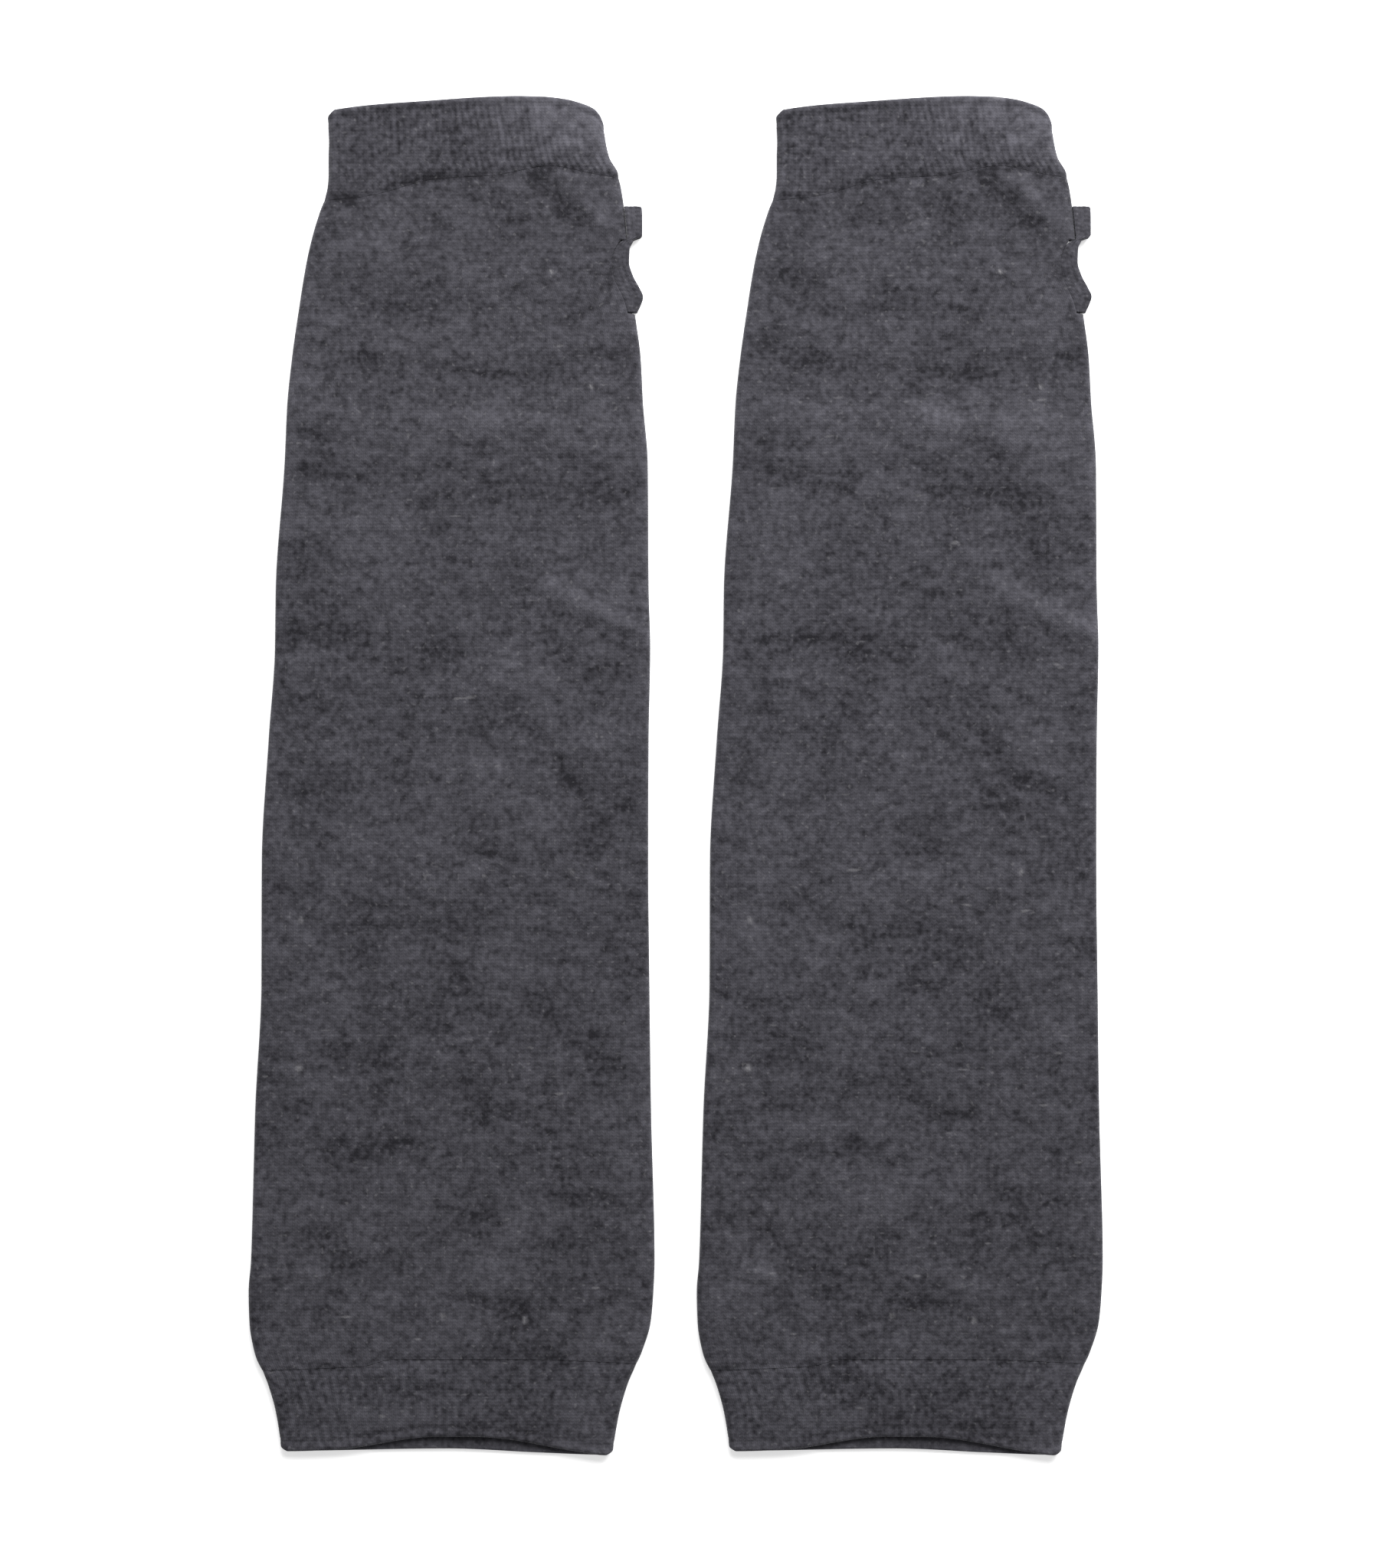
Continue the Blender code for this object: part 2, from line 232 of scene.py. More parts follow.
def fairCurve(stops, values, at):
    # Cubic through the stops that never swings past them: each inner slope is the harmonic mean of
    # the slopes beside it, or zero where they differ in sign
    steps = np.diff(stops)
    rates = np.diff(values) / steps
    before = rates[:-1]
    after = rates[1:]
    sameWay = before * after > 0.0
    total = np.where(sameWay, before + after, 1.0)
    inner = np.where(sameWay, 2.0 * before * after / total, 0.0)
    slopes = np.concatenate([rates[:1], inner, rates[-1:]])
    at = np.clip(at, stops[0], stops[-1])
    cell = np.clip(np.searchsorted(stops, at, side="right") - 1, 0, len(steps) - 1)
    step = steps[cell]
    t = (at - stops[cell]) / step
    left = (2 * t**3 - 3 * t**2 + 1) * values[cell] + (t**3 - 2 * t**2 + t) * step * slopes[cell]
    right = (3 * t**2 - 2 * t**3) * values[cell + 1] + (t**3 - t**2) * step * slopes[cell + 1]
    return left + right


def lineAlong(line, share):
    # Where a hem or seam lies, at a share of the whole width
    return fairCurve(line["share"], line["along"], share)


def foldAcross(side, along):
    # Where the left or right side fold lies
    return fairCurve(sideFolds["along"], sideFolds[side], along)


def softNoise(u, v, seed):
    # Random heights at the whole numbers of u and v, joined by a uniform cubic B-spline each way
    # and scaled to a standard deviation of about one. It repeats only after 256 steps
    spread = 3.6
    steps = 256
    uCell = np.floor(u).astype(int)
    vCell = np.floor(v).astype(int)
    uPart = u - uCell
    vPart = v - vCell
    heights = np.random.default_rng(seed).uniform(-1.0, 1.0, (steps, steps))

    def weights(t):
        return (1 - t) ** 3 / 6, (3 * t**3 - 6 * t**2 + 4) / 6, (3 * (t + t**2 - t**3) + 1) / 6, t**3 / 6

    result = np.zeros(np.shape(u))
    for i, uWeight in enumerate(weights(uPart)):
        for j, vWeight in enumerate(weights(vPart)):
            result += uWeight * vWeight * heights[(uCell + i) % steps, (vCell + j) % steps]
    return spread * result


def hump(distance, reach):
    # Bell curve of a distance: exp(-(distance / reach)^2)
    return np.exp(-((distance / reach) ** 2))


def creaseLift(creases, across, along):
    # Sum of the creases, each a bell curve of the distance to its own line
    lift = np.zeros(np.shape(across))
    for x0, y0, x1, y1, reach, rise in zip(*creases.values()):
        runAcross = x1 - x0
        runAlong = y1 - y0
        share = (across - x0) * runAcross + (along - y0) * runAlong
        share = np.clip(share / (runAcross**2 + runAlong**2), 0.0, 1.0)
        aside = np.hypot(across - x0 - share * runAcross, along - y0 - share * runAlong)
        lift += rise * hump(aside, reach)
    return lift


puckers = table(
    "cellAcross cellAlong height seed",
    (19.0, 10.0, 0.09, 11),
    (8.0, 4.6, 0.075, 12),
    (3.4, 2.2, 0.034, 13),
)
farAway = 9.0  # a distance to a hem or seam that is out of its reach
puckerLimit = 0.42  # deepest that the front layer sinks towards the back one


def frontLift(across, along):
    # Creases plus three sizes of puckers, wider than they are long; a sink is eased to its limit
    # as limit * tanh(sink / limit)
    lift = creaseLift(frontCreases, across, along)
    for cellAcross, cellAlong, height, seed in zip(*puckers.values()):
        lift += height * softNoise(across / cellAcross, along / cellAlong, int(seed))
    return np.where(lift < 0.0, puckerLimit * np.tanh(lift / puckerLimit), lift)


backNoise = {"cellAcross": 12.0, "cellAlong": 8.0, "height": 0.05, "seed": 21, "limit": 0.3}


def backLift(across, along):
    # Creases plus a slow noise, kept above the ground and below the front layer
    lift = creaseLift(backCreases, across, along)
    lift += backNoise["height"] * softNoise(
        across / backNoise["cellAcross"], along / backNoise["cellAlong"], backNoise["seed"]
    )
    return np.clip(lift, 0.0, backNoise["limit"])


def ringAround(frontSteps, foldSteps, backSteps):
    # Columns round a flattened tube, up the left fold, over the front, down the right fold and back
    # underneath: share of the width, reach past the flat's end (cosine of the fold's angle), rise
    # from the middle height (its sine), and the stitch number round the tube
    angle = np.linspace(-np.pi / 2, np.pi / 2, foldSteps + 1)
    turn = np.linspace(0.0, 1.0, foldSteps + 1)
    front = np.arange(1, frontSteps) / frontSteps
    back = 1.0 - np.arange(1, backSteps) / backSteps
    wales = flatCloth["frontWales"]
    foldWales = flatCloth["foldWales"]
    none = np.zeros(foldSteps + 1)
    share = np.concatenate([none, front, none + 1.0, back])
    reach = np.concatenate([-np.cos(angle), 0.0 * front, np.cos(angle), 0.0 * back])
    rise = np.concatenate([np.sin(angle), 0.0 * front + 1.0, -np.sin(angle), 0.0 * back - 1.0])
    wale = np.concatenate(
        [
            foldWales * turn,
            foldWales + wales * front,
            foldWales + wales + foldWales * turn,
            2 * foldWales + wales * (2.0 - back),
            [2 * foldWales + 2 * wales],
        ]
    )
    rightStart = foldSteps + 1 + len(front)
    return {
        "share": share,
        "reach": reach,
        "rise": rise,
        "front": (rise + 1.0) / 2.0,
        "wale": wale,
        "rightFold": (rightStart, rightStart + foldSteps),
        "count": len(share),
    }


def widthShare(ring):
    # Share of the whole width, the folds' half circles included
    nominal = flatCloth["nominalAlong"]
    width = foldAcross("right", nominal) - foldAcross("left", nominal)
    inset = flatCloth["foldRadius"] / width
    return inset + (1.0 - 2.0 * inset) * ring["share"] + inset * ring["reach"]


def tubePoints(ring, along, depth, rightEnd):
    # A flattened tube with half-round folds: straight across between the folds' centres, which
    # carry half circles of the fold radius less the depth into the cloth, and raised by the lift
    # of the front layer or the back one
    foldRadius = flatCloth["foldRadius"]
    radius = foldRadius - depth
    left = foldAcross("left", along) + foldRadius
    right = rightEnd(along)
    across = left * (1.0 - ring["share"]) + right * ring["share"] + radius * ring["reach"]
    height = foldRadius + radius * ring["rise"]
    height += frontLift(across, along) * ring["front"]
    height += backLift(across, along) * (1.0 - ring["front"])
    return across, along, height


def plainRightEnd(along):
    # The flat's right end: the fold less its radius
    return foldAcross("right", along) - flatCloth["foldRadius"]


def edgedRows(count, length):
    # Even positions from 0 to 1 with one more just inside each end, which keeps a sewn edge crisp
    even = np.linspace(0.0, 1.0, count)
    inset = flatCloth["edgeInset"] / length
    return np.concatenate([[0.0, inset], even[1:-1], [1.0 - inset, 1.0]])


def shellLoops(ring, start, end, rows, reliefAt, startBulge, endBulge, innerEvery):
    # Loops of a closed shell: down the outer face, round the far rim, back up the inner face and
    # round the near rim. Each rim is half an ellipse as deep as the wall: along = line +/- bulge *
    # sin(angle), depth = wall * (1 - cos(angle)) / 2
    wall = flatCloth["wall"]
    t = rows[:, None]
    outerAlong = (start + startBulge) * (1.0 - t) + (end - endBulge) * t
    relief = reliefAt(outerAlong)
    angle = np.linspace(0.0, np.pi, 8)[1:-1, None]
    rimDepth = wall * (1.0 - np.cos(angle)) / 2.0
    fade = (1.0 + np.cos(angle)) / 2.0
    endAlong = end - endBulge + endBulge * np.sin(angle)
    startAlong = start + startBulge - startBulge * np.sin(angle[::-1])
    inner = np.flatnonzero(innerEvery)[::-1]
    along = np.concatenate([outerAlong, endAlong, outerAlong[inner], startAlong])
    depth = np.concatenate(
        [
            relief,
            rimDepth + relief[-1] * fade,
            np.full((len(inner), ring["count"]), wall),
            rimDepth[::-1] + relief[0] * fade[::-1],
        ]
    )
    innerFirst = len(rows) + len(angle)
    innerLoop = np.full(len(rows), -1)
    innerLoop[inner] = innerFirst + np.arange(len(inner))
    return along, depth, innerLoop


def gridQuads(loops, columns):
    # Corners of the quads of a grid that closes both ways: (loop, column) indices, unwrapped
    loop, column = np.meshgrid(np.arange(loops), np.arange(columns), indexing="ij")
    quadLoops = np.stack([loop, loop + 1, loop + 1, loop], axis=-1).reshape(-1, 4)
    quadColumns = np.stack([column, column, column + 1, column + 1], axis=-1).reshape(-1, 4)
    return quadLoops, quadColumns


def newPiece(name, parts, quads, corners, marks, material):
    # Mesh from points, quads and the UV of each corner, with its unused points dropped
    used, index = np.unique(quads, return_inverse=True)
    index = index.reshape(quads.shape)
    points = parts[used].astype(np.float32)
    mesh = bpy.data.meshes.new(name)
    mesh.vertices.add(len(points))
    mesh.vertices.foreach_set("co", points.ravel())
    mesh.loops.add(index.size)
    mesh.loops.foreach_set("vertex_index", index.ravel().astype(np.int32))
    mesh.polygons.add(len(index))
    mesh.polygons.foreach_set("loop_start", np.arange(0, index.size, 4, dtype=np.int32))
    mesh.update(calc_edges=True)
    mesh.shade_smooth()
    layer = mesh.uv_layers.new(name="stitches")
    layer.data.foreach_set("uv", corners.astype(np.float32).ravel())
    for markName, values in marks.items():
        attribute = mesh.attributes.new(markName, "FLOAT", "POINT")
        attribute.data.foreach_set("value", values[used].astype(np.float32))
    mesh.materials.append(material)
    piece = bpy.data.objects.new(name, mesh)
    bpy.context.scene.collection.objects.link(piece)
    return piece


def toFrame(across, along, height, place):
    # Garment millimetres to the frame's metres
    x = place["centre"] + across * mm
    y = place["top"] - along * mm
    return np.stack([x, y, place["ground"] + height * mm], axis=-1).reshape(-1, 3)


# Pale spots where thicker fibres stand out, and how wide each one is
neps = table(
    "across along reach",
    (-38.0, 243.0, 0.7),
    (-2.0, 305.0, 0.5),
    (18.4, 306.0, 0.5),
    (-37.5, 206.0, 0.5),
    (30.2, 194.0, 0.5),
    (35.0, 72.7, 0.5),
    (25.0, 44.0, 0.4),
)
wearAndPaintedLightMarks = {
    "cornerAt": (31.0, 5.0),  # across and along, the middle of the thumb corner, fluffed and given a painted highlight
    "cornerReach": (19.0, 9.0),
    "corner": 1.5,
    "sides": 0.35,
    "sideReach": 2.2,
    "sidesUntil": 190.0,
    "hems": 0.3,
    "backHems": 1.6,
    "folds": (-0.9, 0.7),  # limits of the creases' painted shade and highlight
}


def surfaceMarks(across, along, front, hemDistance, seamDistance, seamStrength):
    # fleck: bell curves at the pale spots. wear and painted light: paler, fluffed cloth at the hand cuff's
    # thumb corner with a painted highlight on it, and, thinly, a painted highlight along the upper side
    # folds and the hems, with painted light on the back layer where the front layer shades it near the
    # hems.
    # seam and painted shade: uneven darkening beside a seam, partly the seam's own cloth and partly
    # painted
    # shade. fold shade: the creases' own lift as painted highlight on ridges and painted shade in troughs
    fleck = np.zeros(np.shape(across))
    for x, y, reach in zip(*neps.values()):
        fleck += hump(np.hypot(across - x, along - y), reach)
    patchy = 0.75 + 0.55 * softNoise(across / 1.5, along / 1.5, 42)
    # The thumb corner is paler: partly fluffed wear, partly a painted highlight
    cornerAcross = (across - wearAndPaintedLightMarks["cornerAt"][0]) / wearAndPaintedLightMarks["cornerReach"][0]
    cornerAlong = (along - wearAndPaintedLightMarks["cornerAt"][1]) / wearAndPaintedLightMarks["cornerReach"][1]
    corner = hump(np.hypot(cornerAcross, cornerAlong), 1.0) * np.clip(patchy, 0.1, 1.8)
    # Painted highlight along the side folds, kept to the upper part of the sleeve, nearer the key light
    sides = hump(across - foldAcross("left", along), wearAndPaintedLightMarks["sideReach"])
    sides += hump(across - foldAcross("right", along), wearAndPaintedLightMarks["sideReach"])
    upper = 1.0 / (1.0 + np.exp((along - wearAndPaintedLightMarks["sidesUntil"]) / 30.0))
    # Painted highlight along the hems, and painted light on the back layer where the front layer shades it
    hems = hump(hemDistance - 0.6, 0.7) + wearAndPaintedLightMarks["backHems"] * (1.0 - front) * hump(hemDistance, 3.5)
    wearAndPaintedLight = wearAndPaintedLightMarks["corner"] * corner + wearAndPaintedLightMarks["sides"] * sides * upper + wearAndPaintedLightMarks["hems"] * hems
    slow = softNoise(across / 9.0, along / 90.0, 41)
    quick = softNoise(across / 1.7, along / 4.0, 43)
    uneven = np.clip(0.7 + 0.3 * slow + 0.4 * quick, 0.0, 1.7)
    # Darker beside a seam: partly the seam's own cloth, partly painted shade
    shade = hump(seamDistance - 0.3, 1.0) * seamStrength * uneven
    # Painted highlight on the creases' ridges and painted shade in their troughs, from the creases' own
    # lift
    folds = np.clip(creaseLift(frontCreases, across, along), *wearAndPaintedLightMarks["folds"]) * front
    return {
        "fleck": (fleck * front).ravel(),
        "wearAndPaintedLight": np.clip(wearAndPaintedLight, 0.0, 1.8).ravel(),
        "folds": folds.ravel(),
        "seam": shade.ravel(),
    }


wool = {
    "darkFibre": (0.0212, 0.0204, 0.0252),
    "paleFibre": (0.0616, 0.0600, 0.0711),
    "fleck": (0.23, 0.225, 0.235),
    "sheen": 0.22,
    "sheenRoughness": 0.45,
    "sheenTint": (0.80, 0.80, 0.86, 1.0),
    "specular": 0.18,
}
# How strongly each pattern counts: painted shade in the stitches' hollows, their lean, painted shade in
# the rib grooves, then heather of four sizes from specks to blotches, and the bump
knitFinish = {
    "stitch": 0.05,
    "lean": 0.55,
    "rib": 0.0,
    "speck": 0.46,
    "streak": 0.20,
    "clump": 0.20,
    "blotch": 0.24,
    "bump": 0.36,
}
ribFinish = {
    "stitch": 0.05,
    "lean": 0.50,
    "rib": 0.05,
    "speck": 0.50,
    "streak": 0.12,
    "clump": 0.22,
    "blotch": 0.24,
    "bump": 0.36,
}
edgingFinish = {
    "stitch": 0.14,
    "lean": 0.30,
    "rib": 0.0,
    "speck": 0.42,
    "streak": 0.10,
    "clump": 0.14,
    "blotch": 0.10,
    "bump": 0.45,
}
# Scale and detail of each noise of the heather, and how strongly the marks on the mesh count, their
# painted light and shade among them
heather = {
    "sway": (420.0, 2.0),
    "streak": (480.0, 1.0),
    "speck": (760.0, 1.2),
    "clump": (330.0, 1.0),
    "blotch": (60.0, 2.0, 0.6),
    "fibre": (2600.0, 3.0, 0.7),
    "dashes": (700.0, 0.5),
    "pills": (980.0, 0.0),
    "dashStrength": 0.30,
    "pillStrength": 0.20,
    "seamShade": -0.34,
    "wearAndPaintedLightTone": 0.55,
    "paintedFoldShadeTone": 0.85,
    "fibreTone": 0.08,
    "waleSway": 0.10,  # how far the stitches wander from their own wale and course
    "courseSway": 0.16,
    "courseStretch": (0.32, 1.0, 1.0),  # streaks and dashes are about three times as long as high
    "dashRange": (1.20, 1.60),  # noise from which a dash or a pill begins, and where it is full
    "pillRange": (0.85, 1.60),
    "toneLimits": (-0.25, 2.4),
    "bumpDistance": 0.00020,
    "fibreBump": 0.22,
    "speckBump": 0.35,
}


def addNode(tree, kind, inputs=(), **settings):
    # One node: its settings, then its inputs, each a plain value or another node's output
    made = tree.nodes.new(kind)
    for key, value in settings.items():
        setattr(made, key, value)
    for key, value in dict(inputs).items():
        if isinstance(value, bpy.types.NodeSocket):
            tree.links.new(value, made.inputs[key])
        else:
            made.inputs[key].default_value = value
    return made


def calc(tree, operation, *values):
    # A Math node on up to three values
    return addNode(tree, "ShaderNodeMath", enumerate(values), operation=operation).outputs[0]


def noiseOn(tree, vector, scale, detail, roughness=0.5):
    # Noise brought from its usual 0.3 to 0.7 to about -1 to 1
    inputs = {"Vector": vector, "Scale": scale, "Detail": detail, "Roughness": roughness}
    noise = addNode(tree, "ShaderNodeTexNoise", inputs, noise_dimensions="3D")
    return calc(tree, "MULTIPLY", calc(tree, "SUBTRACT", noise.outputs[0], 0.5), 4.5)


def stitchHeight(tree, wale, course, ahead):
    # Height of plain knit: each stitch is two legs that lean together, sin(pi * a) across the wale
    # with a = |2 * fraction - 1|, times a wave down the course that runs ahead towards the sides
    part = calc(tree, "SUBTRACT", calc(tree, "MULTIPLY", calc(tree, "FRACT", wale), 2.0), 1.0)
    aside = calc(tree, "ABSOLUTE", part)
    legs = calc(tree, "POWER", calc(tree, "SINE", calc(tree, "MULTIPLY", aside, 3.1416)), 0.7)
    lean = calc(tree, "MULTIPLY_ADD", aside, ahead, course)
    wave = calc(tree, "COSINE", calc(tree, "MULTIPLY", lean, 6.2832))
    return calc(tree, "MULTIPLY", legs, calc(tree, "MULTIPLY_ADD", wave, 0.32, 0.68))


def knitMaterial(name, finish):
    # Heathered wool: colour between a dark and a pale fibre by specks, streaks along the courses,
    # clumps, blotches, painted shade in the stitches' hollows and rib grooves, and the marks on the mesh,
    # some of them painted light and shade, with pale dashes and pills; bump from stitches, specks and
    # fibres
    material = bpy.data.materials.new(name)
    material.use_nodes = True
    tree = material.node_tree
    shader = tree.nodes["Principled BSDF"]
    place = addNode(tree, "ShaderNodeTexCoord").outputs["Object"]
    stitches = addNode(tree, "ShaderNodeUVMap", uv_map="stitches").outputs[0]
    split = addNode(tree, "ShaderNodeSeparateXYZ", {0: stitches})
    sway = noiseOn(tree, place, *heather["sway"])
    wale = calc(tree, "MULTIPLY_ADD", sway, heather["waleSway"], split.outputs[0])
    course = calc(tree, "MULTIPLY_ADD", sway, heather["courseSway"], split.outputs[1])
    height = stitchHeight(tree, wale, course, finish["lean"])

    stretch = {0: place, 1: heather["courseStretch"]}
    alongCourses = addNode(tree, "ShaderNodeVectorMath", stretch, operation="MULTIPLY").outputs[0]
    streak = noiseOn(tree, alongCourses, *heather["streak"])
    speck = noiseOn(tree, place, *heather["speck"])
    clump = noiseOn(tree, place, *heather["clump"])
    blotch = noiseOn(tree, place, *heather["blotch"])
    fibre = noiseOn(tree, place, *heather["fibre"])

    tone = calc(tree, "MULTIPLY_ADD", speck, finish["speck"], 0.5)
    tone = calc(tree, "MULTIPLY_ADD", streak, finish["streak"], tone)
    tone = calc(tree, "MULTIPLY_ADD", clump, finish["clump"], tone)
    tone = calc(tree, "MULTIPLY_ADD", blotch, finish["blotch"], tone)
    tone = calc(tree, "MULTIPLY_ADD", fibre, heather["fibreTone"], tone)
    # Painted shade in the stitches' hollows, from their height
    paintedStitchShade = calc(tree, "MULTIPLY_ADD", height, finish["stitch"], -0.5 * finish["stitch"])
    tone = calc(tree, "ADD", tone, paintedStitchShade)
    # Painted shade in the rib grooves
    paintedRibShade = calc(tree, "COSINE", calc(tree, "MULTIPLY", wale, 3.1416))
    tone = calc(tree, "MULTIPLY_ADD", paintedRibShade, finish["rib"], tone)
    # Darker beside seams and on the edging: partly the seams' own cloth, partly painted shade
    seam = addNode(tree, "ShaderNodeAttribute", attribute_name="seam").outputs["Fac"]
    tone = calc(tree, "MULTIPLY_ADD", seam, heather["seamShade"], tone)
    # Paler wear, with painted highlights and painted light in the shade at the hems
    wearAndPaintedLight = addNode(tree, "ShaderNodeAttribute", attribute_name="wearAndPaintedLight").outputs["Fac"]
    tone = calc(tree, "MULTIPLY_ADD", wearAndPaintedLight, heather["wearAndPaintedLightTone"], tone)
    # Painted highlight on crease ridges and painted shade in crease troughs
    folds = addNode(tree, "ShaderNodeAttribute", attribute_name="folds").outputs["Fac"]
    tone = calc(tree, "MULTIPLY_ADD", folds, heather["paintedFoldShadeTone"], tone)
    low, high = heather["toneLimits"]
    tone = addNode(tree, "ShaderNodeClamp", {"Value": tone, "Min": low, "Max": high}).outputs[0]

    plain = addNode(
        tree,
        "ShaderNodeMix",
        {0: tone, 6: (*wool["darkFibre"], 1.0), 7: (*wool["paleFibre"], 1.0)},
        data_type="RGBA",
        clamp_factor=False,
    )
    fleckMark = addNode(tree, "ShaderNodeAttribute", attribute_name="fleck").outputs["Fac"]
    fleckMark = calc(tree, "MULTIPLY", fleckMark, calc(tree, "MULTIPLY_ADD", speck, 0.35, 0.65))
    dashes = noiseOn(tree, alongCourses, *heather["dashes"])
    low, high = heather["dashRange"]
    dashes = addNode(tree, "ShaderNodeMapRange", {0: dashes, 1: low, 2: high}).outputs[0]
    flecks = calc(tree, "MAXIMUM", fleckMark, calc(tree, "MULTIPLY", dashes, heather["dashStrength"]))
    pills = noiseOn(tree, place, *heather["pills"])
    low, high = heather["pillRange"]
    pills = addNode(tree, "ShaderNodeMapRange", {0: pills, 1: low, 2: high}).outputs[0]
    flecks = calc(tree, "MAXIMUM", flecks, calc(tree, "MULTIPLY", pills, heather["pillStrength"]))
    coloured = addNode(
        tree,
        "ShaderNodeMix",
        {0: flecks, 6: plain.outputs[2], 7: (*wool["fleck"], 1.0)},
        data_type="RGBA",
    )
    tree.links.new(coloured.outputs[2], shader.inputs["Base Color"])

    rough = calc(tree, "MULTIPLY_ADD", speck, 0.05, 0.90)
    tree.links.new(rough, shader.inputs["Roughness"])
    relief = calc(tree, "MULTIPLY_ADD", fibre, heather["fibreBump"], height)
    relief = calc(tree, "MULTIPLY_ADD", speck, heather["speckBump"], relief)
    inputs = {"Strength": finish["bump"], "Distance": heather["bumpDistance"], "Height": relief}
    bump = addNode(tree, "ShaderNodeBump", inputs)
    tree.links.new(bump.outputs[0], shader.inputs["Normal"])
    shader.inputs["Specular IOR Level"].default_value = wool["specular"]
    shader.inputs["Sheen Weight"].default_value = wool["sheen"]
    shader.inputs["Sheen Roughness"].default_value = wool["sheenRoughness"]
    shader.inputs["Sheen Tint"].default_value = wool["sheenTint"]
    return material


knitMaterials = {
    "sleeve_knit": knitMaterial("charcoalSleeveKnit", knitFinish),
    "cuff_rib": knitMaterial("charcoalCuffRib", ribFinish),
    "edging_knit": knitMaterial("charcoalEdgingKnit", edgingFinish),
}
print("knit materials made")


cuffRib = {
    "columnsPerRib": 8,  # on the front; ribs are two stitches wide
    "backColumnsPerRib": 5,
    "foldColumns": 18,
    "rows": 84,
    "innerStep": 6,
    "meanLength": 21.0,
    "swell": 0.62,  # how high the ribs stand, as a share of their depth ...
    "slowSpread": 0.30,  # ... and how far that varies, slowly and quickly
    "quickSpread": 0.24,
    "sway": 0.16,
    "wornFade": 0.7,  # how far the ribs fade at the worn thumb corner
    "ribDepth": 0.20,
    "courseDepth": 0.03,
    "hemBulge": 0.6,
    "seamBulge": 0.05,
    "seamCrack": 0.02,  # line left between sewn pieces
    "hemRoll": 0.14,
    "hemGroove": 0.10,
    "seamDip": 0.22,
    "seamReach": 1.2,
}


def cuffRing():
    # Columns round a cuff, a whole number of them to each rib
    ribs = flatCloth["frontWales"] // 2
    front = ribs * cuffRib["columnsPerRib"]
    return ringAround(front, cuffRib["foldColumns"], ribs * cuffRib["backColumnsPerRib"])


def seamDip(distance, strength):
    # The cloth is drawn in beside a seam: a bell curve of the distance to it
    return cuffRib["seamDip"] * strength * hump(distance, cuffRib["seamReach"])


def cuffRelief(ring, along, hemDistance, seamDistance, seamStrength):
    # Depth of a cuff's face: ribs as half of 1 - cos, which swell, fade and sway, shallow courses,
    # a rolled hem with a groove behind it on the front layer, and the dip at the seam
    wale = ring["wale"][:-1] + 0.0 * along
    slow = cuffRib["slowSpread"] * softNoise(wale / 7.0, along / 4.5, 31)
    quick = cuffRib["quickSpread"] * softNoise(wale / 1.6, along / 2.2, 32)
    swell = cuffRib["swell"] + slow + quick
    worn = hump(np.hypot((ring["share"] - 0.97) / 0.22, (along - 7.0) / 9.0), 1.0)
    swell = np.clip(swell, 0.08, 1.3) * (1.0 - cuffRib["wornFade"] * worn)
    wale = wale + cuffRib["sway"] * softNoise(wale / 6.0, along / 3.0, 34)
    ribs = cuffRib["ribDepth"] * swell * (1.0 - np.cos(np.pi * wale)) / 2.0
    courses = cuffRib["courseDepth"] * (1.0 - np.cos(2 * np.pi * along / flatCloth["courseHeight"])) / 2.0
    roll = cuffRib["hemRoll"] * hump(hemDistance - 0.9, 0.7) * ring["front"]
    groove = cuffRib["hemGroove"] * hump(hemDistance - 2.4, 0.6) * ring["front"]
    flat = 1.0 - 0.7 * hump(hemDistance, 1.3)
    return (ribs + courses) * flat - roll + groove + seamDip(seamDistance, seamStrength)


def cuffPiece(name, place, hemFirst, hemLine, seamLine, seamStrength):
    # A cuff as a closed shell of ribbed cloth between its hem and its seam
    ring = cuffRing()
    even = edgedRows(cuffRib["rows"], cuffRib["meanLength"])
    hemEdge = hemLine(widthShare(ring), ring["front"])
    seamEdge = seamLine + (-0.5 if hemFirst else 0.5) * cuffRib["seamCrack"]
    start, end = (hemEdge, seamEdge) if hemFirst else (seamEdge, hemEdge)
    bulges = (cuffRib["hemBulge"], cuffRib["seamBulge"])
    startBulge, endBulge = bulges if hemFirst else bulges[::-1]

    def reliefAt(along):
        return cuffRelief(ring, along, np.abs(along - hemEdge), np.abs(along - seamEdge), seamStrength)

    innerEvery = np.zeros(len(even), bool)
    innerEvery[:: cuffRib["innerStep"]] = True
    innerEvery[-1] = True
    along, depth, _ = shellLoops(ring, start, end, even, reliefAt, startBulge, endBulge, innerEvery)
    across, along, height = tubePoints(ring, along, depth, plainRightEnd)
    quadLoops, quadColumns = gridQuads(*along.shape)
    quads, corners = quadsAndCorners(quadLoops, quadColumns, ring, along)
    seamDistance = np.abs(along - seamEdge)
    marks = surfaceMarks(across, along, ring["front"], np.abs(along - hemEdge), seamDistance, seamStrength)
    points = toFrame(across, along, height, place)
    return newPiece(name, points, quads, corners, marks, knitMaterials["cuff_rib"])


def quadsAndCorners(quadLoops, quadColumns, ring, along):
    # Point numbers and UV (stitch number round, course number down) for the corners of quads
    loops, columns = along.shape
    loop = quadLoops % loops
    column = quadColumns % columns
    quads = loop * columns + column
    course = along[loop, column] / flatCloth["courseHeight"]
    return quads, np.stack([ring["wale"][quadColumns], course], axis=-1)


